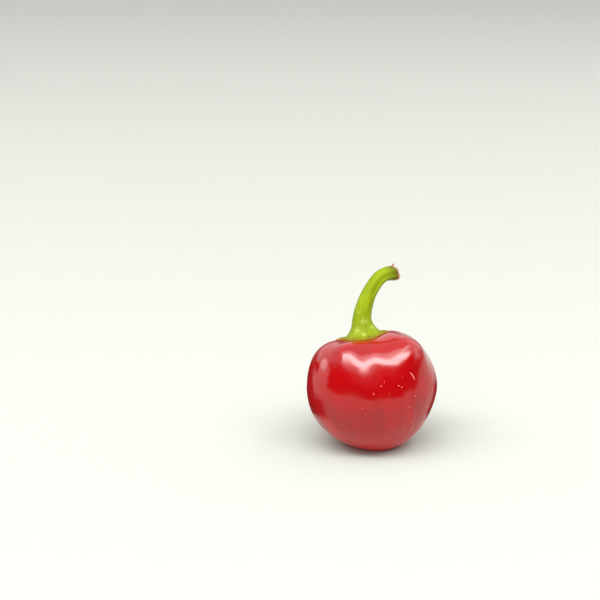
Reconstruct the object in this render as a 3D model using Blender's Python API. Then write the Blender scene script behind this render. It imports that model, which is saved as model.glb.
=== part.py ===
"""A ripe cherry pepper, picked with its stem, standing on a small flat spot.

Metres, +Z up. The origin lies on the surface that the pepper rests on, under the middle
of the pod. +X is the side that the stem's tip bends to, and -Y is the front.
"""

from math import acos, atan2, cos, pi, radians, sin, sqrt, exp

import bmesh
import bpy
from mathutils import Matrix, Vector
from mathutils.bvhtree import BVHTree

# The driving dimensions are in millimetres and degrees. An azimuth goes round the pod's
# axis from +X towards the back, so -90 is the front.
MM = 0.001

# How the pepper stands: the stem end leans left and back
LEAN_LEFT = 7.3
LEAN_BACK = 7.0
CENTRE_HEIGHT = 17.16      # of the pod's middle over the surface it rests on
PRESS_BLEND = 0.35         # the height over which the skin rounds into the flat spot

# The pod: a squat body of revolution, blunt below and broad in the shoulders
POD_RADIUS = 19.57
POD_HALF_HEIGHT = 17.88
EQUATOR_LIFT = 1.17        # the widest ring sits this much above the middle
BLOSSOM_POWER = 1.0        # 1 is round, and more than 1 narrows the lower end
SHOULDER_POWER = 0.55      # less than 1 squares the shoulders

# Swellings of the flesh, and with a minus its hollows: azimuth, angle up from the blossom
# end, spread, height
SWELLINGS = (
    (0, 26, 30, 1.05),
    (0, 100, 28, 1.3),
    (180, 145, 28, 0.2),
    (180, 35, 30, -0.45),
    (90, 30, 35, 0.5),
    (144, 151, 12.3, -1.35),
    (0, 160, 16, 0.8),
    (70, 150, 18, -1.65),
    (-30.4, 129, 17.7, 2.54),
    (-119.1, 142.5, 10.6, 1.1),
    (-94.4, 110.6, 12.3, 0.48),
)

# Creases between the lobes, over the shoulders: azimuth, depth, width
CREASES = (
    (-91.8, 0.8, 10.2),
    (-121.9, 0.21, 10.4),
    (-11, 0.8, 17.4),
    (38, 0.6, 14),
    (98, 0.6, 15),
    (160, 0.5, 15),
)
CREASE_START = 0.42        # share of the height where a crease begins, from below
CREASE_RUN = 0.38          # share of the height over which it deepens
CREASE_END = 0.06          # share of the height over which it closes at the stem
CREASE_DROP = 0.6          # how far a crease lowers the shoulder, for each mm of depth

# The shallow hollow that the stem stands in, and the scar of the flower below
HOLLOW_DEPTH = 1.93
HOLLOW_SPREAD = 5.4
DIMPLE_DEPTH = 0.6
DIMPLE_RADIUS = 2.3
SCAR_HEIGHT = 0.45
SCAR_SPREAD = 0.5

# The calyx: a thin green star lying on the shoulders, 0.3 mm clear of the pod
TOOTH_AZIMUTHS = (-176, -125, -73, -10, 52, 114)
TOOTH_REACHES = (8.6, 7.7, 7.7, 8.0, 7.9, 7.6)
CALYX_RADIUS = 6.0         # between the teeth
TOOTH_SHARPNESS = 1.7
CLEARANCE = 0.3
EDGE_THICKNESS = 0.6
SHEET_THICKNESS = 0.85
FLARE_RADIUS = 5.4         # where the sheet starts to curve up into the stem
FOOT_RADIUS = 3.05         # where the curve has become the stem
FLARE_LEAN = 0.42          # 0 makes that curve a quarter ellipse, and 1 makes it straight
FOOT_RISE = 4.68           # of that place over the top of the pod

# The stem: its bend is in degrees from upright, and its heading is an azimuth
STEM_LENGTH = 18.85
STEM_HEADING = 24
BEND_AT_FOOT = 5.8
BEND_ALONG = 51.5
BEND_HOOK = 33             # the further bend of the hooked end
HOOK_START = 0.65          # share of the length where the hook begins
STEM_RADIUS = 2.25
FOOT_TAPER = 0.75          # extra radius at the foot
COLLAR_GROWTH = 0.08       # extra radius at the swollen cut end
COLLAR_START = 0.86        # share of the length where the swelling and the slant begin
FOOT_EASE = 0.18           # share of the length over which the rings turn with the stem

# Grooves along the upper stem: azimuth, depth, width
GROOVES = (
    (-66, 0.32, 16),
    (-138, 0.2, 20),
    (4, 0.34, 18),
    (78, 0.36, 20),
    (150, 0.3, 18),
)
GROOVE_START = 0.26        # share of the stem's length where the grooves begin
GROOVE_RUN = 0.32          # share of the length over which they deepen

# The snapped end: slanted, with a torn lip, a sunken face and one spur on top
CUT_SLANT = 0.45           # rise of the cut for each mm across the stem
CUT_AZIMUTH = -39          # of the side where the cut stem is longest
LIP_HEIGHT = 0.5
LIP_TEAR = 0.16
TEAR_WAVES = ((3, 1, 1), (7, 0, 0.7), (11, 2, 0.5))   # waves round the lip, their phase, their share
LIP_WIDTH = 0.55
LIP_FLARE = 0.04           # how far the lip leans out, as a share of the stem's radius
FACE_DEPTH = 0.4
SPUR_AZIMUTH = -150
SPUR_SPREAD = 9
SPUR_HEIGHT = 0.2
SPUR_FLARE = 0.32          # how far the spur leans out, as a share of the stem's radius

# The two finishes: linear colour, roughness
RIPE_SKIN = ((0.55, 0.005, 0.008), 0.2)
GREEN_STEM = ((0.40, 0.56, 0.03), 0.5)

# Fineness of the meshes
SHARP_ANGLE = 50           # edges that turn more than this are shaded as edges
POD_MERIDIANS = 64
POD_ROWS = 48
POLE_CROWDING = 0.7        # how much closer the rows are at the two ends
STEPS_PER_TOOTH = 10
STEM_ROWS = 17
SHEET_SHARES = (0.2, 0.45, 0.7, 0.88, 1)   # of the reach, for the rings under the calyx
WEB_SHARES = (0, 0.33, 0.67, 1)            # from the calyx's edge in to the flare
FLARE_ANGLES = (22, 40, 55, 68, 79)        # round the curve from the sheet up into the stem

LEAN = Matrix.Rotation(radians(-LEAN_BACK), 3, "X") @ Matrix.Rotation(radians(-LEAN_LEFT), 3, "Y")
POD_CENTRE = Vector((0, 0, CENTRE_HEIGHT))


def mix(start, end, share):
    return start + (end - start) * share


def smoothstep(value):
    value = min(max(value, 0), 1)
    return value * value * (3 - 2 * value)


def bump(distance, spread):
    return exp(-(distance / spread) ** 2)


def turn(angle):
    """The same angle between half a turn back and half a turn forward."""
    return (angle + pi) % (2 * pi) - pi


def stand(point):
    """Leans a point about the pod's axis and lifts it over the surface."""
    return LEAN @ point + POD_CENTRE


def skin_finish(name, colour, roughness):
    """The finish of one skin: its linear colour and its roughness."""
    finish = bpy.data.materials.new(name)
    finish.use_nodes = True
    shader = finish.node_tree.nodes["Principled BSDF"]
    shader.inputs["Base Color"].default_value = (*colour, 1)
    shader.inputs["Roughness"].default_value = roughness
    shader.inputs["Metallic"].default_value = 0
    finish.diffuse_color = (*colour, 1)
    return finish


def wrapped_sphere(name, meridians, rows, place, finish):
    """A UV sphere with each vertex moved to place(meridian, row), in millimetres."""
    shape = bmesh.new()
    bmesh.ops.create_uvsphere(shape, u_segments=meridians, v_segments=rows, radius=1)
    for vertex in shape.verts:
        meridian = round(atan2(vertex.co.y, vertex.co.x) / (2 * pi) * meridians)
        row = round(acos(max(-1, min(1, -vertex.co.z))) / pi * rows)
        vertex.co = place(meridian % meridians, row) * MM
    mesh = bpy.data.meshes.new(name)
    shape.to_mesh(mesh)
    shape.free()
    mesh.shade_smooth()
    mesh.set_sharp_from_angle(angle=radians(SHARP_ANGLE))
    mesh.materials.append(finish)
    piece = bpy.data.objects.new(name, mesh)
    bpy.context.scene.collection.objects.link(piece)
    return piece


def pod_skin(azimuth, polar):
    """A point of the pod about its own axis. The angle polar is 0 at the blossom end."""
    rise = (1 - cos(polar)) / 2
    power = mix(BLOSSOM_POWER, SHOULDER_POWER, smoothstep(rise))
    radius = POD_RADIUS * sin(polar) ** power
    height = -POD_HALF_HEIGHT * cos(polar) + EQUATOR_LIFT * sin(polar) ** 2
    fade = smoothstep((rise - CREASE_START) / CREASE_RUN) * smoothstep((1 - rise) / CREASE_END)
    for crease_azimuth, depth, width in CREASES:
        cut = depth * fade * bump(turn(azimuth - radians(crease_azimuth)), radians(width))
        radius -= cut * sqrt(sin(polar))
        height -= cut * CREASE_DROP
    if rise > CREASE_START:
        height -= HOLLOW_DEPTH * bump(radius, HOLLOW_SPREAD)
    point = Vector((radius * cos(azimuth), radius * sin(azimuth), height))
    outward = point.normalized()
    for swell_azimuth, swell_polar, spread, swell in SWELLINGS:
        across = sin(radians(swell_polar))
        heading = Vector((across * cos(radians(swell_azimuth)),
                          across * sin(radians(swell_azimuth)), -cos(radians(swell_polar))))
        point += outward * swell * bump(outward.angle(heading), radians(spread))
    return point


def pressed(height):
    """The height of the skin after the surface has pressed the underside flat."""
    if height > PRESS_BLEND:
        return height
    if height < -PRESS_BLEND:
        return 0
    return (height + PRESS_BLEND) ** 2 / (4 * PRESS_BLEND)


def blossom_relief(distance):
    """The dimple at the blossom end, and in it the corky scar that the flower left."""
    dimple = DIMPLE_DEPTH * smoothstep((DIMPLE_RADIUS - distance) / DIMPLE_RADIUS * 2)
    return dimple - SCAR_HEIGHT * bump(distance, SCAR_SPREAD)


def pod_place(meridian, row):
    along = row / POD_ROWS
    along -= POLE_CROWDING * sin(2 * pi * along) / (2 * pi)
    skin = pod_skin(2 * pi * meridian / POD_MERIDIANS, max(pi * along, 0))
    point = stand(skin)
    point.z = pressed(point.z)
    from_scar = skin.xy.length
    if skin.z < 0 and from_scar < DIMPLE_RADIUS:
        point.z += blossom_relief(from_scar)
    return point


def calyx_azimuth(meridian):
    """Meridians are spread so that one runs along the middle of each tooth."""
    tooth, step = divmod(meridian, STEPS_PER_TOOTH)
    start = TOOTH_AZIMUTHS[tooth]
    end = TOOTH_AZIMUTHS[(tooth + 1) % len(TOOTH_AZIMUTHS)]
    return radians(start + (end - start) % 360 * step / STEPS_PER_TOOTH)


def calyx_reach(meridian):
    """The calyx's radius, drawn out into a pointed tooth at each tooth's meridian."""
    tooth, step = divmod(meridian, STEPS_PER_TOOTH)
    share = step / STEPS_PER_TOOTH
    if share > 0.5:
        tooth = (tooth + 1) % len(TOOTH_REACHES)
        share = 1 - share
    return mix(CALYX_RADIUS, TOOTH_REACHES[tooth], (1 - 2 * share) ** TOOTH_SHARPNESS)


def pod_top(pod):
    """Gives a function for the height of the pod's top, about its own axis."""
    tree = BVHTree.FromObject(pod, bpy.context.evaluated_depsgraph_get())
    down = LEAN @ Vector((0, 0, -1))
    start = 2 * POD_HALF_HEIGHT

    def height(radius, azimuth):
        above = Vector((radius * cos(azimuth), radius * sin(azimuth), start))
        distance = tree.ray_cast(stand(above) * MM, down)[3]
        return start - distance / MM

    return height


def stem_bend(share):
    """The stem's bend from upright at a share of its length."""
    hook = smoothstep((share - HOOK_START) / (1 - HOOK_START))
    return radians(BEND_AT_FOOT + BEND_ALONG * share + BEND_HOOK * hook)


def stem_axes(share):
    """The stem's direction at a share of its length, and the two axes across it."""
    up = Matrix.Rotation(radians(-LEAN_BACK), 3, "X") @ Vector((0, 0, 1))
    heading = radians(STEM_HEADING)
    side = Vector((cos(heading), sin(heading), 0))
    side = (side - up * side.dot(up)).normalized()
    bend = stem_bend(share)
    forward = up * cos(bend) + side * sin(bend)
    inner = side * cos(bend) - up * sin(bend)
    return forward, inner, up.cross(side)


def stem_centre(share, steps=40):
    """The middle of the stem at a share of its length, summed in short steps."""
    centre = stand(Vector((0, 0, POD_HALF_HEIGHT + FOOT_RISE)))
    for step in range(steps):
        forward = stem_axes(share * (step + 0.5) / steps)[0]
        centre += forward * STEM_LENGTH * share / steps
    return centre


def collar_share(share):
    """How much of the cut end's swelling and slant is there, at a share of the stem's length."""
    return smoothstep((share - COLLAR_START) / (1 - COLLAR_START))


def stem_radius(share, azimuth):
    radius = STEM_RADIUS + FOOT_TAPER * (1 - share) ** 3 + COLLAR_GROWTH * collar_share(share)
    grooved = smoothstep((share - GROOVE_START) / GROOVE_RUN)
    for groove_azimuth, depth, width in GROOVES:
        radius -= depth * grooved * bump(turn(azimuth - radians(groove_azimuth)), radians(width))
    return radius


def stem_point(share, azimuth, scale=1, ahead=0):
    """A point of the stem's skin, or of its cut end, at a share of its length and so far ahead of that."""
    forward, inner, across = stem_axes(share)
    around = azimuth - radians(STEM_HEADING)
    turned = inner * cos(around) + across * sin(around)
    level = LEAN @ Vector((cos(azimuth), sin(azimuth), 0))
    outward = level.lerp(turned, smoothstep(share / FOOT_EASE)).normalized()
    radius = stem_radius(share, azimuth) * scale
    slant = CUT_SLANT * radius * cos(azimuth - radians(CUT_AZIMUTH)) * collar_share(share)
    return stem_centre(share) + outward * radius + forward * (slant + ahead)


def lip_point(azimuth, scale):
    """A point of the torn lip, which is ragged and has one spur."""
    ragged = LIP_TEAR * sum(part * sin(waves * azimuth + phase) for waves, phase, part in TEAR_WAVES)
    spur = bump(turn(azimuth - radians(SPUR_AZIMUTH)), radians(SPUR_SPREAD))
    return stem_point(1, azimuth, scale + SPUR_FLARE * spur, LIP_HEIGHT + ragged + SPUR_HEIGHT * spur)


def stem_rings(pod):
    """The rings of the stem and calyx, from the middle of the underside to the cut end."""
    top = pod_top(pod)

    def calyx_point(radius, azimuth, lift):
        return stand(Vector((radius * cos(azimuth), radius * sin(azimuth),
                             top(radius, azimuth) + CLEARANCE + lift)))

    def sheet(share):
        return lambda meridian: calyx_point(calyx_reach(meridian) * share, calyx_azimuth(meridian), 0)

    def web(share):
        def ring(meridian):
            radius = mix(calyx_reach(meridian), FLARE_RADIUS, share)
            lift = mix(EDGE_THICKNESS, SHEET_THICKNESS, share)
            return calyx_point(radius, calyx_azimuth(meridian), lift)
        return ring

    def flare(angle):
        def ring(meridian):
            azimuth = calyx_azimuth(meridian)
            radius = mix(FLARE_RADIUS, FOOT_RADIUS, sin(angle))
            low = top(FLARE_RADIUS, azimuth) + CLEARANCE + SHEET_THICKNESS
            height = mix(low, POD_HALF_HEIGHT + FOOT_RISE, mix(1 - cos(angle), sin(angle), FLARE_LEAN))
            return stand(Vector((radius * cos(azimuth), radius * sin(azimuth), height)))
        return ring

    def stem(share):
        return lambda meridian: stem_point(share, calyx_azimuth(meridian))

    def lip(scale):
        return lambda meridian: lip_point(calyx_azimuth(meridian), scale)

    def cut_face(scale):
        return lambda meridian: stem_point(1, calyx_azimuth(meridian), scale, -FACE_DEPTH)

    inside_lip = 1 - LIP_WIDTH / STEM_RADIUS
    rings = [lambda meridian: calyx_point(0, 0, 0)]
    rings += [sheet(share) for share in SHEET_SHARES]
    rings += [web(share) for share in WEB_SHARES]
    rings += [flare(radians(angle)) for angle in FLARE_ANGLES]
    rings += [stem(row / STEM_ROWS) for row in range(STEM_ROWS + 1)]
    rings += [lip(1 + LIP_FLARE), lip(mix(1, inside_lip, 0.5))]
    rings += [cut_face(inside_lip), cut_face(inside_lip / 2)]
    rings.append(lambda meridian: stem_point(1, 0, 0, -FACE_DEPTH))
    return rings


def build_pod():
    finish = skin_finish("ripe_skin", *RIPE_SKIN)
    return wrapped_sphere("pod", POD_MERIDIANS, POD_ROWS, pod_place, finish)


def build_stem_with_calyx(pod):
    finish = skin_finish("green_stem", *GREEN_STEM)
    rings = stem_rings(pod)
    meridians = STEPS_PER_TOOTH * len(TOOTH_AZIMUTHS)

    def place(meridian, row):
        return rings[row](meridian)

    return wrapped_sphere("stem_with_calyx", meridians, len(rings) - 1, place, finish)


def main():
    for item in list(bpy.data.objects):
        bpy.data.objects.remove(item, do_unlink=True)
    pod = build_pod()
    bpy.context.view_layer.update()
    build_stem_with_calyx(pod)


main()
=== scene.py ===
# %% [markdown]
# A ripe cherry pepper, picked with its stem: one squat, glossy red pod, and one green stem whose foot
# spreads into a thin star, the calyx. The imported model holds the pepper's true form in plain solids. This
# script loads it as a fixed frame, and lays a finer skin over each solid. The frame's box is kept.

# %% Load the frame
import random
from math import acos, cos, degrees, pi, radians, sin, tau

import bmesh
import bpy
import numpy as np
from mathutils import Matrix, Vector, noise


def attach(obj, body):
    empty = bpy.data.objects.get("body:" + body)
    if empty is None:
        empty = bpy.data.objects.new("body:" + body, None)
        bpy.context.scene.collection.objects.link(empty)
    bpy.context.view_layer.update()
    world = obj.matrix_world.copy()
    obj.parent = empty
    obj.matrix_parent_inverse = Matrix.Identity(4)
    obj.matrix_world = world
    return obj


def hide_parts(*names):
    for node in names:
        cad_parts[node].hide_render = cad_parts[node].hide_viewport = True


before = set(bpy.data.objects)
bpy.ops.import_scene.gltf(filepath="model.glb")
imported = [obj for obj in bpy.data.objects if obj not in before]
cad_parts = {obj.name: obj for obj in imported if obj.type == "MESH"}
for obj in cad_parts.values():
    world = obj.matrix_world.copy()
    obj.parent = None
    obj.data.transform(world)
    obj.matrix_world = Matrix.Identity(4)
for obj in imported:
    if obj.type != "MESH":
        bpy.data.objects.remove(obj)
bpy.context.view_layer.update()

# %% [markdown]
# Blender works in metres, and a pepper is better thought of in millimetres, so the sizes below are in
# millimetres and degrees, and are scaled once, where a mesh or an object is made. Colours are easiest to
# pick as the hex codes of a paint program, which are gamma-encoded (sRGB). Blender's sockets want linear
# light, so one function turns them.

# %% Units and colours
MM = 0.001


def linear(hex_code):
    """The linear RGBA of an sRGB hex colour."""
    shares = [int(hex_code[i:i + 2], 16) / 255 for i in (1, 3, 5)]
    return (*(s / 12.92 if s <= 0.04045 else ((s + 0.055) / 1.055) ** 2.4 for s in shares), 1.0)


print("mid grey in linear light:", [round(x, 3) for x in linear("#808080")])

# %% [markdown]
# The picture is taken with a long lens from half a metre, a little above the pepper: the far edge of the
# pod's top shows behind the calyx. Such a lens keeps the outline from bulging. The camera is placed from
# the pod's middle: back along its own line of sight, then sideways and up, until that middle falls on its
# pixel of a 600 × 600 picture. The Standard view transform keeps the picked colours as they are.

# %% Camera
LENS, SENSOR, FRAME_PIXELS, NEAREST = 100.0, 36.0, 600, 50.0
CAMERA_PITCH, CAMERA_DISTANCE = 16.0, 515.0
POD_PIXEL = (370.5, 391.3)
CENTRE_HEIGHT = 17.16


def add_object(name, data):
    """Puts a mesh, a lamp or a camera into the scene."""
    item = bpy.data.objects.new(name, data)
    bpy.context.scene.collection.objects.link(item)
    return item


camera = add_object("camera", bpy.data.cameras.new("camera"))
camera.data.lens = LENS
camera.data.sensor_width = SENSOR
camera.data.clip_start = NEAREST * MM
camera.rotation_euler = (radians(90 - CAMERA_PITCH), 0, 0)
mm_per_pixel = CAMERA_DISTANCE * SENSOR / LENS / FRAME_PIXELS
aside = (FRAME_PIXELS / 2 - POD_PIXEL[0]) * mm_per_pixel
above = (POD_PIXEL[1] - FRAME_PIXELS / 2) * mm_per_pixel
sight = camera.rotation_euler.to_matrix() @ Vector((aside, above, CAMERA_DISTANCE))
camera.location = (Vector((0, 0, CENTRE_HEIGHT)) + sight) * MM
bpy.context.scene.camera = camera
bpy.context.scene.view_settings.view_transform = "Standard"
print("one pixel at the pod is", round(mm_per_pixel, 3), "mm")

# %% [markdown]
# A finish is a tree of small nodes: coordinates go into patterns, patterns into numbers and colours, and
# those into one Principled shader. Written out, a tree is mostly repetition, so one helper adds a node,
# fills in its settings and joins its inputs. Whatever is the same all over a surface is set on the shader
# itself.

# %% A helper for shader trees
def add_node(tree, kind, settings=None, links=None):
    """Adds a node. settings holds its properties and values, and links the outputs that feed it."""
    node = tree.nodes.new(kind)
    for name, value in (settings or {}).items():
        if isinstance(name, str) and hasattr(node, name):
            setattr(node, name, value)
        else:
            node.inputs[name].default_value = value
    for name, output in (links or {}).items():
        tree.links.new(output, node.inputs[name])
    return node


def new_finish(name):
    """A fresh material, its tree, and its Principled shader."""
    finish = bpy.data.materials.new(name)
    finish.use_nodes = True
    tree = finish.node_tree
    return finish, tree, tree.nodes["Principled BSDF"]


print("helpers ready: add_node, new_finish")

# %% [markdown]
# The pepper stands on a sheet of pale matt board: paper pulp with no coating, which scatters light evenly
# and has hardly any gloss. The sheet is so large that nothing but board shows behind the pepper. Its grey
# is darker than it looks in the picture, because the lamps are strong. It has next to no tint, since a
# glossy pod mirrors the board in its whole lower half.

# %% Floor
BOARD_SIZE = 8000.0

half = BOARD_SIZE / 2 * MM
floor_mesh = bpy.data.meshes.new("floor")
floor_mesh.from_pydata([(-half, -half, 0), (half, -half, 0), (half, half, 0), (-half, half, 0)],
                       [], [(0, 1, 2, 3)])
floor = add_object("floor", floor_mesh)
board, tree, shader = new_finish("matt_board")
shader.inputs["Base Color"].default_value = linear("#93958F")
shader.inputs["Roughness"].default_value = 0.9
shader.inputs["Specular IOR Level"].default_value = 0.2
floor_mesh.materials.append(board)
print("floor:", BOARD_SIZE, "mm square")

# %% [markdown]
# Gloss shows the lamps, so a lamp's shape matters as much as its brightness. An area lamp is a glowing
# rectangle. Its radiance, which is what gloss mirrors, is its power over pi and its area, so each lamp is
# given by the radiance that the gloss needs, and its power is worked out. It is placed by its direction
# from the pod's middle, and faces the pod.

# %% A helper for lamps
def area_lamp(name, direction, distance, width, height, radiance, mirrored):
    """A rectangular lamp that faces the pod. Gloss shows it only if mirrored is True."""
    lamp = bpy.data.lights.new(name, "AREA")
    lamp.shape = "RECTANGLE"
    lamp.size = width * MM
    lamp.size_y = height * MM
    lamp.energy = radiance * pi * lamp.size * lamp.size_y
    holder = add_object(name, lamp)
    away = Vector(direction).normalized()
    holder.location = (Vector((0, 0, CENTRE_HEIGHT)) + away * distance) * MM
    holder.rotation_euler = away.to_track_quat("Z", "Y").to_euler()
    holder.visible_glossy = mirrored
    holder.visible_camera = False


print("helper ready: area_lamp")

# %% [markdown]
# A long softbox over the front gives the white highlight. A wider, dimmer one round it gives the highlight
# its glow, and a small one at its right gives the arm that climbs the shoulder. A very wide diffuser
# overhead gives the shoulders their pale sheen. Under these lamps the room is dark down to the board, and
# that gap is mirrored as the band of deep red. Lamps low at the sides give the soft strips near the rims.
# Two more lamps only light the colours, and gloss doesn't mirror them: a softbox in front, and a light
# table that lifts the dark underside. A row gives the direction, distance, width, height and radiance.

# %% Lamps
LIGHT_TABLE_LIFT = 0.3
MIRRORED_LAMPS = (
    ("key_softbox", (-0.070, -0.467, 0.882), 2000, 4617, 476, 12.0),
    ("key_glow", (-0.070, -0.350, 0.934), 2200, 5079, 1109, 3.2),
    ("overhead_diffuser", (0.0, 0.335, 0.942), 2400, 10000, 9440, 1.15),
    ("key_leg", (0.465, -0.100, 0.868), 2000, 750, 180, 8.0),
    ("left_softbox", (-0.899, 0.327, 0.292), 1000, 420, 190, 2.8),
    ("right_softbox", (0.920, -0.053, 0.388), 1000, 380, 380, 1.8),
    ("left_diffuser", (-0.967, 0.170, 0.191), 1000, 620, 400, 1.3),
    ("right_diffuser", (0.749, 0.398, 0.530), 1000, 1060, 1020, 0.9),
)
MATT_LAMPS = (
    ("front_softbox", (-0.15, -0.75, 0.64), 1500, 1500, 1000, 4.5),
    ("light_table", (0.0, 0.0, -1.0), CENTRE_HEIGHT - LIGHT_TABLE_LIFT, 300, 300, 1.7),
)

for values in MIRRORED_LAMPS:
    area_lamp(*values, mirrored=True)
for values in MATT_LAMPS:
    area_lamp(*values, mirrored=False)
print("lamps:", len(MIRRORED_LAMPS), "that gloss mirrors, and", len(MATT_LAMPS), "that it doesn't")

# %% [markdown]
# At its rim a glossy pod mirrors what stands behind it. That would be the pale board, and the rim would
# melt into it. Studios stand a dark card there, so that the rim stays deep. The card here is a low wall
# bent round the back of the pod, with a foot that runs in under it. Each of its tops is an azimuth and the
# wall's height there. It stores a fade that is 0 along its ends and edges, so that no hard line shows.

# %% The dark card's shape
CARD_RADIUS, CARD_FOOT_RADIUS, CARD_LIFT = 36.0, 25.0, 0.5
CARD_TOPS = ((10, 20), (55, 20), (80, 31), (160, 31), (178, 16), (204, 15))
CARD_STEP, CARD_START_FADE, CARD_END_FADE, CARD_EDGE_FADE = 2, 10, 14, 6.0

card_start, card_end = CARD_TOPS[0][0], CARD_TOPS[-1][0]
card_azimuths = range(card_start, card_end + 1, CARD_STEP)


def card_column(azimuth):
    """Points up the card at one azimuth: each one's radius, its height and how solid the card is."""
    top = float(np.interp(azimuth, *zip(*CARD_TOPS)))
    solid = min(1, (azimuth - card_start) / CARD_START_FADE, (card_end - azimuth) / CARD_END_FADE)
    return ((CARD_FOOT_RADIUS, CARD_LIFT, 0), (CARD_FOOT_RADIUS + CARD_EDGE_FADE, CARD_LIFT, solid),
            (CARD_RADIUS, CARD_LIFT, solid), (CARD_RADIUS, top - CARD_EDGE_FADE, solid),
            (CARD_RADIUS, top, 0))


card_points, card_fades = [], []
for azimuth in card_azimuths:
    angle = radians(azimuth)
    for radius, height, solid in card_column(azimuth):
        card_points.append(Vector((radius * cos(angle), radius * sin(angle), height)) * MM)
        card_fades.append(solid)
column = len(card_column(card_start))
card_faces = [(low, low + column, low + column + 1, low + 1)
              for start in range(0, len(card_points) - column, column)
              for low in range(start, start + column - 1)]
card_mesh = bpy.data.meshes.new("dark_card")
card_mesh.from_pydata(card_points, [], card_faces)
card_mesh.attributes.new("fade", "FLOAT", "POINT").data.foreach_set("value", card_fades)
print("the card has", len(card_faces), "faces")

# %% [markdown]
# The card is covered with felt: matted wool, dyed a very dark red. Its loose fibres swallow light, so the
# eye sees no shine on it. It shows only in the pod's mirror image, where the stored fade drives its alpha.
# The camera doesn't see the card itself, and it throws no shadow.

# %% Dark red felt
card = add_object("dark_card", card_mesh)
for ray in ("camera", "diffuse", "transmission", "volume_scatter", "shadow"):
    setattr(card, "visible_" + ray, False)
felt, tree, shader = new_finish("dark_red_felt")
fade = add_node(tree, "ShaderNodeAttribute", {"attribute_name": "fade"})
tree.links.new(fade.outputs["Fac"], shader.inputs["Alpha"])
shader.inputs["Base Color"].default_value = linear("#2A0806")
shader.inputs["Roughness"].default_value = 0.9
card_mesh.materials.append(felt)
print("staged:", card.name)

# %% [markdown]
# Wherever the gloss mirrors no lamp, card or board, it mirrors the room. The room is left nearly black, or
# the deep red band would turn grey.

# %% Dark room
world = bpy.data.worlds.new("dark_room")
world.use_nodes = True
world.node_tree.nodes["Background"].inputs["Color"].default_value = linear("#FFFFFF")
world.node_tree.nodes["Background"].inputs["Strength"].default_value = 0.01
bpy.context.scene.world = world
print("world:", world.name)

# %% [markdown]
# A few small functions do most of the shaping. One mixes two numbers, one eases from 0 to 1, one is a soft
# bump, and one brings an angle back to within half a turn. They take single numbers and whole arrays alike.

# %% Helpers for shapes
def mix(start, end, share):
    return start + (end - start) * share


def smoothstep(value):
    value = np.clip(value, 0, 1)
    return value * value * (3 - 2 * value)


def bump(distance, spread):
    return np.exp(-(distance / spread) ** 2)


def turn(angle):
    """The same angle between half a turn back and half a turn forward."""
    return (angle + pi) % tau - pi


print("halfway up a smooth step:", float(smoothstep(0.5)))

# %% [markdown]
# The pod is grown, not turned: a squat round body with creases over its shoulders where its chambers meet,
# and gentle swellings between them. It is described in numbers about its own axis, which leans. Each
# swelling has an azimuth, an angle up from the blossom end, a spread and a height, and one with a minus is
# a hollow. Each crease has an azimuth, a depth and a width. The numbers are those of the solid, so that
# the fine skin keeps its form.

# %% The pod's numbers
LEAN_LEFT, LEAN_BACK = 7.3, 7.0
PRESS_BLEND = 0.35
POD_RADIUS, POD_HALF_HEIGHT = 19.57, 17.88
EQUATOR_LIFT = 1.17
BLOSSOM_POWER, SHOULDER_POWER = 1.0, 0.55
SWELLINGS = (
    (0, 26, 30, 1.05),
    (0, 100, 28, 1.3),
    (180, 145, 28, 0.2),
    (180, 35, 30, -0.45),
    (90, 30, 35, 0.5),
    (144, 151, 12.3, -1.35),
    (0, 160, 16, 0.8),
    (70, 150, 18, -1.65),
    (-30.4, 129, 17.7, 2.54),
    (-119.1, 142.5, 10.6, 1.1),
    (-94.4, 110.6, 12.3, 0.48),
)
CREASES = (
    (-91.8, 0.8, 10.2),
    (-121.9, 0.21, 10.4),
    (-11, 0.8, 17.4),
    (38, 0.6, 14),
    (98, 0.6, 15),
    (160, 0.5, 15),
)
CREASE_START, CREASE_RUN, CREASE_END, CREASE_DROP = 0.42, 0.38, 0.06, 0.6
HOLLOW_DEPTH, HOLLOW_SPREAD = 1.93, 5.4
LEAN = Matrix.Rotation(radians(-LEAN_BACK), 3, "X") @ Matrix.Rotation(radians(-LEAN_LEFT), 3, "Y")
print("the pod has", len(SWELLINGS), "swellings and", len(CREASES), "creases")

# %% [markdown]
# The pod could be sculpted, but a formula is easier to reason about. Each point of the skin has an azimuth
# round the pod's axis and a polar angle up from the blossom end, and the formula answers where it lies.
# It starts as a squashed ball, the creases pull it in and down, the stem's hollow sinks its top, and the
# swellings push it out.

# %% The pod's form
def crease_depth(azimuth, polar):
    """How deep the creases cut the shoulders at each point, in millimetres."""
    rise = (1 - np.cos(polar)) / 2
    fade = smoothstep((rise - CREASE_START) / CREASE_RUN) * smoothstep((1 - rise) / CREASE_END)
    return fade * sum(depth * bump(turn(azimuth - radians(middle)), radians(width))
                      for middle, depth, width in CREASES)


def swelling(outward):
    """How far the swellings push the skin out along each outward direction, in millimetres."""
    push = 0
    for azimuth, polar, spread, amount in SWELLINGS:
        across = sin(radians(polar))
        peak = (across * cos(radians(azimuth)), across * sin(radians(azimuth)), -cos(radians(polar)))
        apart = np.arccos(np.clip(outward @ np.array(peak), -1, 1))
        push = push + amount * bump(apart, radians(spread))
    return push


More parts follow.
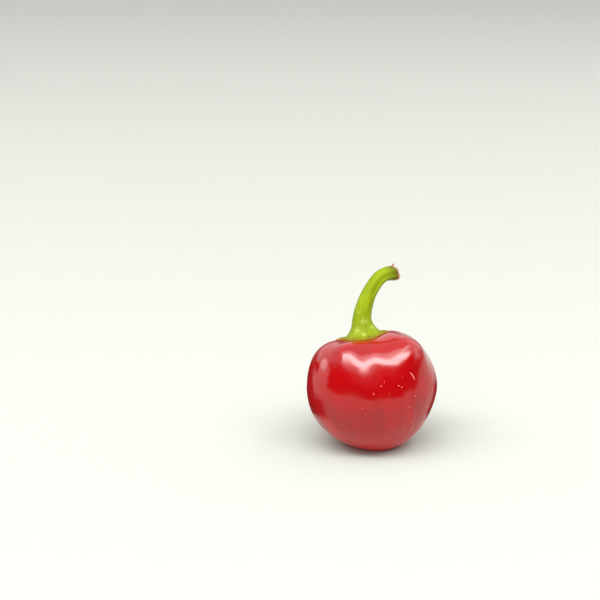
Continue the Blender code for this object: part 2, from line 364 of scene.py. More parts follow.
def pod_skin(azimuth, polar):
    """Points of the pod about its own axis, for arrays of azimuths and polar angles."""
    rise = (1 - np.cos(polar)) / 2
    power = mix(BLOSSOM_POWER, SHOULDER_POWER, smoothstep(rise))
    across = np.clip(np.sin(polar), 0, 1)
    cut = crease_depth(azimuth, polar)
    radius = POD_RADIUS * across ** power - cut * np.sqrt(across)
    height = -POD_HALF_HEIGHT * np.cos(polar) + EQUATOR_LIFT * across ** 2 - cut * CREASE_DROP
    height = height - np.where(rise > CREASE_START, HOLLOW_DEPTH * bump(radius, HOLLOW_SPREAD), 0)
    points = np.stack([radius * np.cos(azimuth), radius * np.sin(azimuth), height], -1)
    outward = points / np.linalg.norm(points, axis=-1, keepdims=True)
    return points + outward * swelling(outward)[..., None]


widest = pod_skin(np.linspace(0, tau, 9), np.full(9, pi / 2))
print("the pod's girth lies", np.round(np.linalg.norm(widest[:, :2], axis=1), 1), "mm from its axis")

# %% [markdown]
# The pepper doesn't balance on one point: under its own weight the skin is pressed flat where it meets the
# board. So the pod is leaned about its axis and lifted to its height, and whatever would then lie under
# the board is brought up to it, with a short rounding at the edge of the flat spot.

# %% How the pod stands
def stand(points):
    """Leans points about the pod's axis, and lifts them over the board."""
    return points @ np.array(LEAN).T + (0, 0, CENTRE_HEIGHT)


def pressed(height):
    """The height of the skin after the board has pressed the underside flat."""
    rounded = (height + PRESS_BLEND) ** 2 / (4 * PRESS_BLEND)
    return np.where(height > PRESS_BLEND, height, np.where(height < -PRESS_BLEND, 0, rounded))


print("the top of the pod's axis stands at", np.round(stand(np.array((0, 0, POD_HALF_HEIGHT))), 1), "mm")

# %% [markdown]
# Both pieces are closed skins over a stack of rings, so one helper lofts them: it joins each ring to the
# next with four-sided faces and closes the ends with fans. Quads in rings shade evenly, which a
# mirror-like skin needs. The helper also stores numbers on the vertices, such as how deep a crease is
# there, and the finishes read them.

# %% A helper that lofts rings
def loft(name, rings, facts, finish):
    """A closed piece over rings of points in millimetres. The first and last ring are one point each."""
    count = len(rings[1])
    around = np.arange(count)
    after = (around + 1) % count
    first = 1 + count * np.arange(len(rings) - 2)
    lower, upper = first[:-1, None], first[1:, None]
    last = first[-1] + count
    quads = np.stack([lower + around, lower + after, upper + after, upper + around], -1).reshape(-1, 4)
    start_fan = np.stack([0 * around, 1 + after, 1 + around], -1)
    end_fan = np.stack([0 * around + last, first[-1] + around, first[-1] + after], -1)
    mesh = bpy.data.meshes.new(name)
    faces = start_fan.tolist() + quads.tolist() + end_fan.tolist()
    mesh.from_pydata(np.concatenate(rings) * MM, [], faces)
    for fact, values in facts.items():
        kind, slot = ("FLOAT", "value") if values.ndim == 1 else ("FLOAT_VECTOR", "vector")
        stored = mesh.attributes.new(fact, kind, "POINT")
        stored.data.foreach_set(slot, values.astype(np.float32).ravel())
    mesh.shade_smooth()
    mesh.materials.append(finish)
    print(name, "has", len(start_fan) * 2 + len(quads) * 2, "triangles")
    return add_object(name, mesh)


# %% [markdown]
# Ripe skin is a thin waxy cuticle over red flesh: a clear, smooth layer with an IOR near 1.5 over a deep
# colour. The eye sees saturated red where nothing bright is mirrored, and pale, soft-edged reflections
# elsewhere. The red is cloudy at the scale of a few millimetres, because the flesh under it ripens
# unevenly. In the creases, whose depth the mesh stores, it is painted a touch deeper: painted shade.

# %% Ripe skin: clouds and painted crease shade
CLOUD_SIZE = 7.0

ripe_skin, tree, shader = new_finish("ripe_waxy_skin")
pod_place = add_node(tree, "ShaderNodeTexCoord")
clouds = add_node(tree, "ShaderNodeTexNoise", {"Scale": 1 / (CLOUD_SIZE * MM), "Detail": 3.0},
                  {"Vector": pod_place.outputs["Object"]})
cloudy = add_node(tree, "ShaderNodeMixRGB", {"Color1": linear("#750204"), "Color2": linear("#820305")},
                  {"Fac": clouds.outputs["Fac"]})
# The crease depth paints the red darker in the creases: painted shade.
crease = add_node(tree, "ShaderNodeAttribute", {"attribute_name": "crease"})
crease_shade_share = add_node(tree, "ShaderNodeMapRange", {"From Max": 1.4, "To Max": 0.6},
                        {"Value": crease.outputs["Fac"]})
crease_shaded = add_node(tree, "ShaderNodeMixRGB", {"Color2": linear("#740307")},
                   {"Fac": crease_shade_share.outputs["Result"], "Color1": cloudy.outputs["Color"]})
shader.inputs["IOR"].default_value = 1.5
print("the clouds are about", CLOUD_SIZE, "mm across")

# %% [markdown]
# Two marks lie over the red. The flower left a brown corky scar at the blossom end, and the mesh stores
# where. Faint streaks run from the blossom end to the shoulders, where the skin stretched as it grew. They
# follow a coordinate that the mesh stores, as wide as a streak round the pod and much longer along it. A
# streak is slightly greyer, and slightly rougher too, so that it also blurs what the skin mirrors.

# %% Ripe skin: scar and streaks
scar = add_node(tree, "ShaderNodeAttribute", {"attribute_name": "scar"})
corky = add_node(tree, "ShaderNodeMapRange", {"From Min": 0.15, "From Max": 0.6},
                 {"Value": scar.outputs["Fac"]})
scarred = add_node(tree, "ShaderNodeMixRGB", {"Color2": linear("#7A5A34")},
                   {"Fac": corky.outputs["Result"], "Color1": crease_shaded.outputs["Color"]})
grain_place = add_node(tree, "ShaderNodeAttribute", {"attribute_name": "grain"})
grain = add_node(tree, "ShaderNodeTexNoise", {"Scale": 1.0, "Detail": 2.0},
                 {"Vector": grain_place.outputs["Vector"]})
grain_share = add_node(tree, "ShaderNodeMapRange", {"From Min": 0.35, "From Max": 0.65},
                       {"Value": grain.outputs["Fac"]})
streaky = add_node(tree, "ShaderNodeAttribute", {"attribute_name": "streaky"})
streaks = add_node(tree, "ShaderNodeMath", {"operation": "MULTIPLY"},
                   {0: grain_share.outputs["Result"], 1: streaky.outputs["Fac"]})
streaked = add_node(tree, "ShaderNodeMixRGB", {"blend_type": "MULTIPLY", "Color2": linear("#E0D4D4")},
                    {"Fac": streaks.outputs["Value"], "Color1": scarred.outputs["Color"]})
gloss = add_node(tree, "ShaderNodeMapRange", {"To Min": 0.15, "To Max": 0.22},
                 {"Value": streaks.outputs["Value"]})
tree.links.new(streaked.outputs["Color"], shader.inputs["Base Color"])
tree.links.new(gloss.outputs["Result"], shader.inputs["Roughness"])
print("the ripe finish has", len(tree.nodes), "nodes")

# %% [markdown]
# Up close the skin isn't quite even. It has slow waves a few millimetres long, faint ribs down the front
# below the girth, and at the blossom end a dimple with the flower's scar. A mirror-like skin shows waves
# far smaller than the eye could see in its outline, so they are given real height in the mesh.

# %% The pod's fine skin
WAVE_SPACING, WAVE_HEIGHT = 3.2, 0.035
RIB_AZIMUTHS, RIB_WIDTH, RIB_HEIGHT = (-104, -90, -80, -72, -64, -50), 3.4, 0.14
LOW_FOOT, LOW_FOOT_FADE, LOW_TOP, LOW_TOP_FADE = 30, 30, 100, 25
DIMPLE_DEPTH, DIMPLE_RADIUS = 0.6, 2.3
SCAR_HEIGHT, SCAR_SPREAD = 0.45, 0.5


def scar_share(skin):
    """How much each point belongs to the scar, from 0 to 1."""
    return np.where(skin[:, 2] < 0, bump(np.hypot(skin[:, 0], skin[:, 1]), SCAR_SPREAD), 0)


def low_share(polar):
    """How much each point belongs to the lower half of the pod, from 0 to 1."""
    under_top = smoothstep((radians(LOW_TOP) - polar) / radians(LOW_TOP_FADE))
    return under_top * smoothstep((polar - radians(LOW_FOOT)) / radians(LOW_FOOT_FADE))


def fine_skin(azimuth, polar):
    """Points of the fine skin as the pod stands, for arrays of azimuths and polar angles."""
    skin = pod_skin(azimuth, polar)
    outward = skin / np.linalg.norm(skin, axis=1, keepdims=True)
    waves = WAVE_HEIGHT * np.array([noise.noise(point / WAVE_SPACING) for point in skin])
    ribs = sum(bump(turn(azimuth - radians(middle)), radians(RIB_WIDTH)) for middle in RIB_AZIMUTHS)
    relief = waves + RIB_HEIGHT * low_share(polar) * ribs
    standing = stand(skin + outward * relief[:, None])
    standing[:, 2] = pressed(standing[:, 2])
    from_scar = np.hypot(skin[:, 0], skin[:, 1])
    dimple = DIMPLE_DEPTH * smoothstep((DIMPLE_RADIUS - from_scar) / DIMPLE_RADIUS * 2)
    in_dimple = (skin[:, 2] < 0) & (from_scar < DIMPLE_RADIUS)
    standing[:, 2] += np.where(in_dimple, dimple - SCAR_HEIGHT * scar_share(skin), 0)
    return standing


blossom_end = fine_skin(np.zeros(1), np.zeros(1))[0]
print("the scar hangs", round(float(blossom_end[2]), 2), "mm over the board")

# %% [markdown]
# The pod is now laid out in rows from the blossom end to the stem. The rows lie closer together at both
# ends, where the dimple and the stem's hollow need them. Beside its point, each vertex stores how deep the
# crease is, whether it is on the scar, and where it lies among the streaks, which are strongest low down.

# %% Pod
POD_MERIDIANS, POD_ROWS, POLE_CROWDING = 360, 260, 0.7
STREAK_WIDTH, STREAK_STRETCH, STREAKS_ABOVE = 4.25, 0.12, 0.25

row_shares = np.arange(POD_ROWS + 1) / POD_ROWS
polars = pi * np.clip(row_shares - POLE_CROWDING * np.sin(tau * row_shares) / tau, 0, 1)
azimuths = tau * np.arange(POD_MERIDIANS) / POD_MERIDIANS
pod_rings, depths, scars, grains, strengths = [], [], [], [], []
for row, polar in enumerate(polars):
    kept = slice(0, 1 if row in (0, POD_ROWS) else None)
    level = np.full(POD_MERIDIANS, polar)
    among = np.stack([np.cos(azimuths), np.sin(azimuths), level * STREAK_STRETCH], -1)
    pod_rings.append(fine_skin(azimuths, level)[kept])
    depths.append(crease_depth(azimuths, level)[kept])
    scars.append(scar_share(pod_skin(azimuths, level))[kept])
    grains.append(among[kept] * POD_RADIUS / STREAK_WIDTH)
    strengths.append(mix(STREAKS_ABOVE, 1, low_share(level))[kept])
pod_facts = {"crease": depths, "scar": scars, "grain": grains, "streaky": strengths}
pod_facts = {name: np.concatenate(parts) for name, parts in pod_facts.items()}
pod = loft("pod_skin", pod_rings, pod_facts, ripe_skin)

# %% [markdown]
# Pale specks are scattered over the skin, and on its front right is one small pale scratch. All share one
# pale finish with little shine, so they look pale and dull beside the gloss.

# %% Pale dull marks
pale_mark_finish, tree, shader = new_finish("pale_dull_marks")
# The specks and the scratch are given one pale, dull colour.
shader.inputs["Base Color"].default_value = linear("#D29A88")
shader.inputs["Roughness"].default_value = 0.5
print("finish ready:", pale_mark_finish.name)

# %% [markdown]
# The specks are little lenses, raised a few hundredths of a millimetre, so that they are in the mesh and
# not only in its colour. Those that show in the picture are listed one by one, each by its azimuth, its
# polar angle and its radius. The others are drawn from a seed, so that every run scatters them alike.

# %% Where the specks lie
SPECKS = (
    (-81, 103.7, 0.18),
    (-88.6, 97, 0.17),
    (-64.7, 100.6, 0.16),
    (-61.9, 98.7, 0.17),
    (-49.1, 86.6, 0.14),
    (-55.6, 77.4, 0.13),
    (-123.8, 68.2, 0.12),
    (-74.7, 94.6, 0.08),
    (-59.4, 108, 0.09),
    (-60.9, 117.4, 0.08),
    (-75.5, 124.3, 0.08),
    (-77.3, 107.1, 0.08),
)
OTHER_SPECKS, OTHER_LEVELS, OTHER_RADII, SPECK_SEED = 40, (-0.9, 0.7), (0.05, 0.1), 7

chance = random.Random(SPECK_SEED)
others = [(chance.uniform(-180, 180), degrees(acos(chance.uniform(*OTHER_LEVELS))),
           chance.uniform(*OTHER_RADII)) for _ in range(OTHER_SPECKS)]
print("specks:", len(SPECKS), "by hand and", len(others), "by chance")

# %% [markdown]
# A speck has to know how the skin lies under it. Two neighbours, a fraction of a degree away, give the
# directions along the skin, and across both of them lies the direction out of it.

# %% Specks
SPECK_SIDES, SPECK_LIFT, SPECK_SINK = 10, 0.05, 0.01
SPECK_UNEVENNESS, SPECK_WANDER, NEIGHBOUR = 0.25, 3, 0.3


def skin_frame(azimuth, polar):
    """A point of the skin, two directions along it and the one out of it. The angles are in degrees."""
    places = ((azimuth, polar), (azimuth + NEIGHBOUR, polar), (azimuth, polar + NEIGHBOUR))
    places = np.radians(places)
    point, east, north = fine_skin(places[:, 0], places[:, 1])
    east, north = Vector(east - point).normalized(), Vector(north - point).normalized()
    return Vector(point), east, north, east.cross(north).normalized()


def speck(shape, azimuth, polar, radius):
    """A little lens in the skin, with an uneven rim."""
    point, east, north, out = skin_frame(azimuth, polar)
    top = shape.verts.new((point + out * SPECK_LIFT) * MM)
    rim = []
    for corner in range(SPECK_SIDES):
        angle = tau * corner / SPECK_SIDES
        wander = (azimuth + SPECK_WANDER * cos(angle), polar + SPECK_WANDER * sin(angle), 0.5)
        size = radius * (1 + SPECK_UNEVENNESS * noise.noise(wander))
        edge = point + (east * cos(angle) + north * sin(angle)) * size - out * SPECK_SINK
        rim.append(shape.verts.new(edge * MM))
    for corner, vertex in enumerate(rim):
        shape.faces.new((top, vertex, rim[(corner + 1) % SPECK_SIDES]))
    shape.faces.new(rim[::-1])


shape = bmesh.new()
for azimuth, polar, radius in (*SPECKS, *others):
    speck(shape, azimuth, polar, radius)
print("the specks have", len(shape.faces), "faces")

# %% [markdown]
# The scratch is a short bent ridge with a roof-shaped section, widest halfway. It joins the specks in one
# mesh, since all have one finish.

# %% Scratch
SCRATCH = ((-50.7, 110.6), (-49.2, 109), (-48.1, 106.6), (-47.4, 104), (-47.3, 102.4))
SCRATCH_WIDTH, SCRATCH_END = 0.19, 0.35
ROOF = ((-0.5, -SPECK_SINK), (0, SPECK_LIFT), (0.5, -SPECK_SINK))

ridge = []
for index, (azimuth, polar) in enumerate(SCRATCH):
    point, east, north, out = skin_frame(azimuth, polar)
    width = SCRATCH_WIDTH * (SCRATCH_END + sin(pi * (index + 0.5) / len(SCRATCH)))
    ridge.append([shape.verts.new((point + east * across * width + out * lift) * MM)
                  for across, lift in ROOF])
for before, after in zip(ridge, ridge[1:]):
    for here, there in ((0, 1), (1, 2), (2, 0)):
        shape.faces.new((before[here], before[there], after[there], after[here]))
shape.faces.new(ridge[0][::-1])
shape.faces.new(ridge[-1])
bmesh.ops.recalc_face_normals(shape, faces=shape.faces)
speck_mesh = bpy.data.meshes.new("skin_specks")
shape.to_mesh(speck_mesh)
shape.free()
speck_mesh.shade_smooth()
speck_mesh.materials.append(pale_mark_finish)
specks = add_object("skin_specks", speck_mesh)
print("with the scratch:", len(speck_mesh.polygons), "faces")

# %% [markdown]
# The calyx and the stem grew as one piece, so they are one mesh. The calyx is a thin star that lies on the
# pod's shoulders, with a pointed tooth at each vein, and its middle draws up into the stem. The outline
# comes first: how far the star reaches on each of its meridians. The meridians are spread so that one runs
# down the middle of each tooth, or its point would be cut off.

# %% The calyx's outline
TOOTH_AZIMUTHS = (-176, -125, -73, -10, 52, 114)
TOOTH_REACHES = (8.6, 7.7, 7.7, 8.0, 7.9, 7.6)
CALYX_RADIUS, TOOTH_SHARPNESS = 6.0, 1.7
STEPS_PER_TOOTH = 40

tooth_count = len(TOOTH_AZIMUTHS)
starts = np.array(TOOTH_AZIMUTHS, float)
widths = (np.roll(starts, -1) - starts) % 360
step_shares = np.arange(STEPS_PER_TOOTH) / STEPS_PER_TOOTH
green_azimuths = np.radians((starts[:, None] + widths[:, None] * step_shares).ravel())
to_tooth = np.tile(np.minimum(step_shares, 1 - step_shares), tooth_count)
nearest = (np.arange(tooth_count)[:, None] + np.where(step_shares > 0.5, 1, 0)).ravel() % tooth_count
reach = mix(CALYX_RADIUS, np.array(TOOTH_REACHES)[nearest], (1 - 2 * to_tooth) ** TOOTH_SHARPNESS)
from_midrib = np.abs(turn(green_azimuths - np.radians(starts)[nearest]))
print("the calyx reaches", round(reach.min(), 1), "to", round(reach.max(), 1), "mm from its middle")

# %% [markdown]
# A flat star could be draped over the pod by a simulation, but that is hard to steer. Instead each ring of
# the star is laid straight on the pod. For every meridian the pod's own formula gives a profile, from its
# top down to its girth, and the height under a ring is read from it.

# %% The calyx on the pod
PROFILE_POINTS = 300

profile_polars = np.linspace(pi, pi / 2, PROFILE_POINTS)
profiles = [pod_skin(np.full(PROFILE_POINTS, azimuth), profile_polars) for azimuth in green_azimuths]


def pod_top(radii):
    """The height of the pod's top about its own axis, at one radius for each meridian."""
    return np.array([np.interp(radius, np.hypot(profile[:, 0], profile[:, 1]), profile[:, 2])
                     for radius, profile in zip(radii, profiles)])


def about_axis(radii, heights):
    """A ring about the pod's axis, leaning with the pod."""
    return stand(np.stack([radii * np.cos(green_azimuths), radii * np.sin(green_azimuths), heights], -1))


print("under the calyx's edge the pod is", np.round(pod_top(reach).mean(), 1), "mm over its middle")

# %% [markdown]
# The stem leaves the calyx upright, leans right and away, and hooks over near its end. A curve drawn
# through points would do, but its length would be hard to keep. So the bend is given as an angle that
# grows along the stem, and the middle line is summed from short straight steps.

# %% The stem's middle line
STEM_LENGTH, STEM_HEADING = 18.85, 24
BEND_AT_FOOT, BEND_ALONG, BEND_HOOK, HOOK_START = 5.8, 51.5, 33, 0.65
FOOT_RADIUS, FOOT_RISE = 3.05, 4.68

heading = radians(STEM_HEADING)
upright = Matrix.Rotation(radians(-LEAN_BACK), 3, "X") @ Vector((0, 0, 1))
side = Vector((cos(heading), sin(heading), 0))
side = (side - upright * side.dot(upright)).normalized()


def stem_axes(share):
    """The stem's direction at a share of its length, and the two axes across it."""
    hook = float(smoothstep((share - HOOK_START) / (1 - HOOK_START)))
    bend = radians(BEND_AT_FOOT + BEND_ALONG * share + BEND_HOOK * hook)
    forward = upright * cos(bend) + side * sin(bend)
    return forward, side * cos(bend) - upright * sin(bend), upright.cross(side)


def stem_centre(share, steps=40):
    """The middle of the stem at a share of its length, summed in short steps."""
    centre = Vector(stand(np.array((0, 0, POD_HALF_HEIGHT + FOOT_RISE))))
    for step in range(steps):
        centre += stem_axes(share * (step + 0.5) / steps)[0] * (STEM_LENGTH * share / steps)
    return centre


print("the stem's tip is at", [round(x, 1) for x in stem_centre(1.0)], "mm")

# %% [markdown]
# Grooves run along the upper part of the stem with ridges between them, and finer fibres all the way. Both
# are in the mesh, because they show at the outline too. Near its end the stem swells a little, where it
# was joined to the plant.

# %% The stem's thickness
STEM_RADIUS, FOOT_TAPER, COLLAR_GROWTH, COLLAR_START, FOOT_EASE = 2.25, 0.75, 0.08, 0.86, 0.18
GROOVES = ((-66, 0.32, 16), (-138, 0.2, 20), (4, 0.34, 18), (78, 0.36, 20), (150, 0.3, 18))
GROOVE_START, GROOVE_RUN = 0.26, 0.32
FIBRE_SPACING, FIBRE_STRETCH, FIBRE_RELIEF = 0.6, 6.0, 0.06


def noise_around(spacing, level):
    """Noise on each meridian of the stem, with grains of one spacing in millimetres."""
    turns = STEM_RADIUS / spacing
    return np.array([noise.noise((cos(azimuth) * turns, sin(azimuth) * turns, level))
                     for azimuth in green_azimuths])


def collar_share(share):
    """How much of the end's swelling is there, at a share of the stem's length."""
    return float(smoothstep((share - COLLAR_START) / (1 - COLLAR_START)))


def stem_radius(share):
    """The stem's radius on each meridian, at a share of its length."""
    body = STEM_RADIUS + FOOT_TAPER * (1 - share) ** 3 + COLLAR_GROWTH * collar_share(share)
    grooved = float(smoothstep((share - GROOVE_START) / GROOVE_RUN))
    cut = sum(depth * bump(turn(green_azimuths - radians(middle)), radians(width))
              for middle, depth, width in GROOVES)
    fibres = noise_around(FIBRE_SPACING, share * STEM_LENGTH / FIBRE_STRETCH)
    return body - cut * grooved + FIBRE_RELIEF * fibres * float(smoothstep(share / FOOT_EASE))


print("the stem is", np.round(2 * stem_radius(0.5).mean(), 1), "mm thick halfway")

# %% [markdown]
# A ring of the stem stands across its middle line. At the foot the rings still lie level with the pod, and
# over a short way they turn to face along the stem, so that its skin doesn't fold. At the other end they
# slant, because the stem wasn't snapped off square.

# %% The stem's rings
CUT_SLANT, CUT_AZIMUTH = 0.45, -39


def stem_ring(share, scale=1.0, ahead=0.0):
    """A ring of the stem, at a share of its length. It can be scaled, and moved ahead by millimetres."""
    forward, inner, across = (np.array(axis) for axis in stem_axes(share))
    around = green_azimuths - heading
    turned = np.cos(around)[:, None] * inner + np.sin(around)[:, None] * across
    level = np.stack([np.cos(green_azimuths), np.sin(green_azimuths), 0 * around], -1) @ np.array(LEAN).T
    outward = mix(level, turned, float(smoothstep(share / FOOT_EASE)))
    outward /= np.linalg.norm(outward, axis=1, keepdims=True)
    radius = stem_radius(share) * scale
    slant = CUT_SLANT * radius * np.cos(green_azimuths - radians(CUT_AZIMUTH)) * collar_share(share)
    return np.array(stem_centre(share)) + outward * radius[:, None] + forward * (slant + ahead)[:, None]


end_heights = stem_ring(1.0)[:, 2]
print("the stem's end stands", np.round((end_heights.min(), end_heights.max()), 1), "mm over the board")

# %% [markdown]
# The stem was snapped off. Its bark tore into a thin dry lip that stands ragged round the end, with one
# splinter, and the pith inside it sank as it dried. The lip's height is noise round the stem, so that it
# looks torn and not sawn, and the pith is lumpy.

# %% The torn end
LIP_HEIGHT, LIP_TEAR, LIP_FLARE, LIP_WIDTH = 0.68, 0.36, 0.04, 0.32
SPUR_AZIMUTH, SPUR_SPREAD, SPUR_HEIGHT, SPUR_FLARE = -150, 7, 0.2, 0.4
FACE_DEPTH, PITH_RELIEF, PITH_SPACING = 0.5, 0.12, 0.5
TEAR_SPACING, TEAR_LEVEL = 0.42, 7.0

spur = bump(turn(green_azimuths - radians(SPUR_AZIMUTH)), radians(SPUR_SPREAD))
lip_height = LIP_HEIGHT + LIP_TEAR * noise_around(TEAR_SPACING, TEAR_LEVEL) + SPUR_HEIGHT * spur
lip_scale = 1 + LIP_FLARE + SPUR_FLARE * spur


def pith_ring(share):
    """A ring of the sunken pith, from its middle at 0 to the foot of the lip at 1."""
    scale = (1 - LIP_WIDTH / STEM_RADIUS) * share
    lumps = np.array([noise.noise(point / PITH_SPACING) for point in stem_ring(1.0, scale)])
    return stem_ring(1.0, scale, PITH_RELIEF * lumps * share - FACE_DEPTH)


print("the lip stands", round(lip_height.min(), 2), "to", round(lip_height.max(), 2), "mm out")

# %% [markdown]
# Low on the stem, on its front, the skin is painted paler in patches. Each is a soft blot with an azimuth, a
# place along the stem from its foot, a width and a length. Fine noise breaks it up, because a smooth blot
# would look like a reflection.

# %% Pale patches
PALE_PATCHES = ((-78, 0.0, 24, 0.9), (-120, -2.6, 14, 1.0), (-38, -2.6, 12, 0.8), (-88, -4.0, 8, 0.5))
PATCH_SPACING, PATCH_LENGTH, PATCH_EVEN, PATCH_BROKEN = 0.25, 0.5, 0.6, 0.9


def patches(along):
    """How pale the skin is on each meridian, so far along the stem from its foot, in millimetres."""
    pale = sum(bump(turn(green_azimuths - radians(middle)), radians(width)) * bump(along - place, length)
               for middle, place, width, length in PALE_PATCHES)
    broken = noise_around(PATCH_SPACING, along / PATCH_LENGTH)
    return np.clip(pale * (PATCH_EVEN + PATCH_BROKEN * broken), 0, 1)


print("the palest spot at the stem's foot:", round(float(patches(0.0).max()), 2))

# %% [markdown]
# The stem's skin is living green tissue with hardly any wax. It is satin rather than glossy: the eye sees
# its own colour, and only broad, weak reflections. Long fibres run through it, some of them paler. Their
# pattern follows a coordinate that the mesh stores, stretched along the stem. Near the foot come
# blotches, and the pale patches above.

# %% Green skin: fibres and blotches
BLOTCH_SIZE = 1.7

green_skin, tree, shader = new_finish("green_stem_skin")
fibre_place = add_node(tree, "ShaderNodeAttribute", {"attribute_name": "fibre"})
fibres = add_node(tree, "ShaderNodeTexNoise", {"Scale": 1.0, "Detail": 3.0, "Roughness": 0.6},
                  {"Vector": fibre_place.outputs["Vector"]})
fibre_share = add_node(tree, "ShaderNodeMapRange", {"From Min": 0.35, "From Max": 0.7},
                       {"Value": fibres.outputs["Fac"]})
green = add_node(tree, "ShaderNodeMixRGB", {"Color1": linear("#5C6A04"), "Color2": linear("#717E0A")},
                 {"Fac": fibre_share.outputs["Result"]})
stem_place = add_node(tree, "ShaderNodeTexCoord")
blotches = add_node(tree, "ShaderNodeTexNoise", {"Scale": 1 / (BLOTCH_SIZE * MM), "Detail": 2.0},
                    {"Vector": stem_place.outputs["Object"]})
blotch_share = add_node(tree, "ShaderNodeMapRange", {"From Min": 0.5, "From Max": 0.85, "To Max": 0.5},
                        {"Value": blotches.outputs["Fac"]})
foot = add_node(tree, "ShaderNodeAttribute", {"attribute_name": "foot"})
foot_blotches = add_node(tree, "ShaderNodeMath", {"operation": "MULTIPLY"},
                         {0: blotch_share.outputs["Result"], 1: foot.outputs["Fac"]})
patch = add_node(tree, "ShaderNodeAttribute", {"attribute_name": "patch"})
pale_share = add_node(tree, "ShaderNodeMath", {"operation": "MAXIMUM"},
                      {0: foot_blotches.outputs["Value"], 1: patch.outputs["Fac"]})
patched = add_node(tree, "ShaderNodeMixRGB", {"Color2": linear("#8C9A44")},
                   {"Fac": pale_share.outputs["Value"], "Color1": green.outputs["Color"]})
print("the blotches are about", BLOTCH_SIZE, "mm across")

# %% [markdown]
# The calyx dries from its rim inwards. Its outer part is olive, the tips of its teeth are brown, and its
# very edge is a dull yellow. The mesh stores how near each point is to the outer part, to a tip and to the
# very edge, and one colour after another is mixed in by those numbers.

# %% Green skin: the calyx's edge
edge = add_node(tree, "ShaderNodeAttribute", {"attribute_name": "edge"})
edged = add_node(tree, "ShaderNodeMixRGB", {"Color2": linear("#5E500C")},
                 {"Fac": edge.outputs["Fac"], "Color1": patched.outputs["Color"]})
tip = add_node(tree, "ShaderNodeAttribute", {"attribute_name": "tip"})
tipped = add_node(tree, "ShaderNodeMixRGB", {"Color2": linear("#8E6E58")},
                  {"Fac": tip.outputs["Fac"], "Color1": edged.outputs["Color"]})
rim = add_node(tree, "ShaderNodeAttribute", {"attribute_name": "rim"})
rimmed = add_node(tree, "ShaderNodeMixRGB", {"Color2": linear("#806A18")},
                  {"Fac": rim.outputs["Fac"], "Color1": tipped.outputs["Color"]})
print("nodes so far:", len(tree.nodes))

# %% [markdown]
# Towards the torn end the green goes olive. Then come, in order, the crack under the lip, near black for
# its dark cut edge and for painted shade in it, the lip's dry tan, the brown of its inner side, and the
# straw colour of the pith. One stored number, cut, grows all the way: up to SKIN_END it ages the skin,
# and from there on it runs along a colour ramp.

# %% Green skin: the torn end
SKIN_END = 0.3
TORN_COLOURS = (
    (SKIN_END, "#4C4E08"),
    # The crack's near black is partly its dark cut edge and partly painted shade under the lip.
    (0.37, "#1C1504"),
    (0.42, "#8A6248"),
    (0.52, "#A47E62"),
    (0.62, "#6E5A2A"),
    (0.7, "#867C40"),
    (1.0, "#A39A6C"),
)

cut = add_node(tree, "ShaderNodeAttribute", {"attribute_name": "cut"})
ageing = add_node(tree, "ShaderNodeMapRange", {"From Max": SKIN_END}, {"Value": cut.outputs["Fac"]})
aged = add_node(tree, "ShaderNodeMixRGB", {"Color2": linear(TORN_COLOURS[0][1])},
                {"Fac": ageing.outputs["Result"], "Color1": rimmed.outputs["Color"]})
ramp = add_node(tree, "ShaderNodeValToRGB", {}, {"Fac": cut.outputs["Fac"]})
while len(ramp.color_ramp.elements) < len(TORN_COLOURS):
    ramp.color_ramp.elements.new(0.5)
for element, (position, hex_code) in zip(ramp.color_ramp.elements, TORN_COLOURS):
    element.position = position
    element.color = linear(hex_code)
torn = add_node(tree, "ShaderNodeMath", {"operation": "GREATER_THAN", 1: SKIN_END},
                {0: cut.outputs["Fac"]})
stem_colour = add_node(tree, "ShaderNodeMixRGB", {}, {
    "Fac": torn.outputs["Value"], "Color1": aged.outputs["Color"], "Color2": ramp.outputs["Color"]})
tree.links.new(stem_colour.outputs["Color"], shader.inputs["Base Color"])
print("the torn end has", len(TORN_COLOURS), "colours")

# %% [markdown]
# The fibres also catch the light. They are in the mesh already, and a bump of a few hundredths of a
# millimetre adds the finest of them. The gloss is weak and wide, as on any leaf or stalk without wax.

# %% Green skin: relief and gloss
BUMP_HEIGHT = 0.05

relief = add_node(tree, "ShaderNodeBump", {"Strength": 0.5, "Distance": BUMP_HEIGHT * MM},
                  {"Height": fibres.outputs["Fac"]})
tree.links.new(relief.outputs["Normal"], shader.inputs["Normal"])
shader.inputs["Roughness"].default_value = 0.45
shader.inputs["Specular IOR Level"].default_value = 0.07
print("the green finish has", len(tree.nodes), "nodes")

# %% [markdown]
# Now the rings of the green piece are stacked. It starts in the middle of the calyx's underside and goes
# out to its edge. Each ring is laid on the stack with what the finish has to know there, and what isn't
# given is 0.

# %% The calyx's underside
GAP, UNDERSIDE_SHARES = 0.04, (0.15, 0.4, 0.65, 0.85, 0.97, 1.0)
FACTS = ("rim", "foot", "cut", "edge", "tip", "patch")
stack = []


def lay(ring, **known):
    """Lays a ring on the stack, with the facts known about it."""
    stack.append((ring, known))


lay(about_axis(0 * reach, pod_top(0 * reach) + GAP)[:1])
for share in UNDERSIDE_SHARES:
    lay(about_axis(reach * share, pod_top(reach * share) + GAP), edge=1)
print("rings so far:", len(stack))

# %% [markdown]
# From the edge the rings go back in over the top of the star. It is as thin as a leaf at the edge and
# thickens towards the stem, and a fine midrib runs along each tooth. The finish is told how near each
# point is to the outer part, to the very edge and to a tooth's tip.

# %% The calyx's top
EDGE_THICKNESS, SHEET_THICKNESS, FLARE_RADIUS, TOP_ROWS = 0.18, 0.75, 5.4, 12
MIDRIB_HEIGHT, MIDRIB_WIDTH, MIDRIB_EASE = 0.22, 0.5, 3
RIM_WIDTH, EDGE_START, EDGE_RUN, TIP_START, TIP_RUN = 0.13, 4.4, 2.2, 7.1, 0.7
FOOT_ON_TOP = 0.3


def edge_share(radii):
    """How much each point belongs to the calyx's outer part, from 0 to 1."""
    return smoothstep((radii - EDGE_START) / EDGE_RUN)


def midrib(radii, share=1.0):
    """How high the midribs stand, at a share of the way in from the calyx's edge."""
    return MIDRIB_HEIGHT * bump(from_midrib * radii, MIDRIB_WIDTH) * float(smoothstep(share * MIDRIB_EASE))


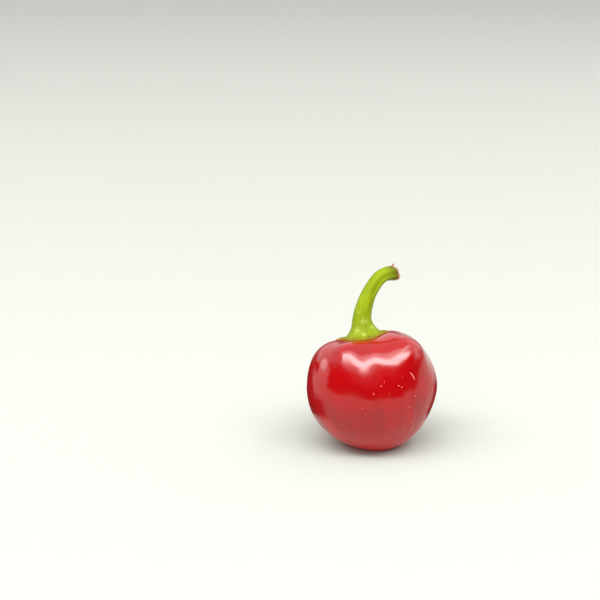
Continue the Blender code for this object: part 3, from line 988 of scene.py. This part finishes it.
for share in np.linspace(0, 1, TOP_ROWS):
    radii = mix(reach, FLARE_RADIUS, share)
    lift = GAP + mix(EDGE_THICKNESS, SHEET_THICKNESS, share) + midrib(radii, share)
    lay(about_axis(radii, pod_top(radii) + lift), foot=FOOT_ON_TOP, edge=edge_share(radii),
        rim=bump(share * (reach - FLARE_RADIUS), RIM_WIDTH), tip=smoothstep((radii - TIP_START) / TIP_RUN))
print("rings so far:", len(stack))

# %% [markdown]
# Then the sheet flares up into the stem, on a curve between a quarter ellipse and a straight line. The
# stem itself follows with many close rings, so that its fibres are sharp.

# %% The flare and the stem
FLARE_LEAN, FLARE_LENGTH, FLARE_ROWS, FLARE_ENDS = 0.42, 5.2, 24, (4, 86)
STEM_ROWS, FOOT_ON_FLARE, FOOT_FADE = 140, 0.6, 0.35
AGED_LENGTH, DRIED_LENGTH, DRIED = 0.22, 0.45, 0.06

flare_low = pod_top(FLARE_RADIUS + 0 * reach) + GAP + SHEET_THICKNESS + midrib(FLARE_RADIUS)
for angle in np.radians(np.linspace(*FLARE_ENDS, FLARE_ROWS)):
    radii = mix(FLARE_RADIUS, FOOT_RADIUS, sin(angle)) + 0 * reach
    heights = mix(flare_low, POD_HALF_HEIGHT + FOOT_RISE, mix(1 - cos(angle), sin(angle), FLARE_LEAN))
    lay(about_axis(radii, heights), foot=FOOT_ON_FLARE, edge=edge_share(radii),
        patch=patches(FLARE_LENGTH * (angle / (pi / 2) - 1)))
for share in np.linspace(0, 1, STEM_ROWS + 1):
    age = SKIN_END * float(smoothstep((share - 1) / AGED_LENGTH + 1)) ** 2
    age += DRIED * float(smoothstep((share - 1) * STEM_LENGTH / DRIED_LENGTH + 1))
    lay(stem_ring(share), foot=float(bump(share, FOOT_FADE)), cut=age, patch=patches(share * STEM_LENGTH))
print("rings so far:", len(stack))

# %% [markdown]
# At the end a shallow crack runs round under the lip, then the rings climb the lip, go over its top and
# drop to the pith. Each row of the table says how far out the ring lies between the crack and the lip, how
# far in again on top of it, how far up, and which colour it has on the ramp.

# %% The lip and the pith
CRACK_DEPTH, PITH_ROWS, PITH_FOOT = 0.18, 10, 0.62
LIP_ROWS = (
    (0, 0, 0.1, 0.37),
    (0, 0, 0.38, 0.37),
    (0.8, 0, 0.5, 0.42),
    (1, 0, 0.8, 0.45),
    (1, 0.04, 1, 0.48),
    (1, 0.071, 1, 0.52),
)

for out, inset, rise, colour in LIP_ROWS:
    lay(stem_ring(1.0, mix(1 - CRACK_DEPTH, lip_scale, out) - inset, lip_height * rise), cut=colour)
for share in np.linspace(1, 0, PITH_ROWS):
    lay(pith_ring(share)[:None if share else 1], cut=mix(1.0, PITH_FOOT, share))
print("rings in all:", len(stack))

# %% [markdown]
# The fibres' coordinate is worked out last, because it needs the true distance from ring to ring. Round
# the stem it is a circle that takes in the right number of fibres, and along it that distance, divided by
# the stretch. Then everything known about the rings is spread over their points, and the piece is lofted.

# %% Stem with calyx
green_rings = [ring for ring, known in stack]
strides = [float(np.linalg.norm(after - before, axis=1).mean())
           for before, after in zip(green_rings, green_rings[1:])]
distances = np.concatenate([[0], np.cumsum(strides)])
fibre_turns = STEM_RADIUS / FIBRE_SPACING
circle = np.stack([np.cos(green_azimuths), np.sin(green_azimuths), 0 * green_azimuths], -1) * fibre_turns
green_facts = {name: np.concatenate([np.broadcast_to(known.get(name, 0), len(ring)) for ring, known in stack])
               for name in FACTS}
green_facts["fibre"] = np.concatenate([(circle + (0, 0, distance / FIBRE_STRETCH))[:len(ring)]
                                       for distance, ring in zip(distances, green_rings)])
stem = loft("stem_and_calyx", green_rings, green_facts, green_skin)

# %% [markdown]
# The pepper doesn't move in itself, so every piece rides on its one body. The two skins stand for their
# solids, which are hidden.

# %% Ride and replace
for piece, slot in ((pod, "ripe_skin"), (specks, "ripe_skin"), (stem, "green_stem")):
    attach(piece, "root")
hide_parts("pod")
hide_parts("stem_with_calyx")
print("pieces:", pod.name, specks.name, stem.name)
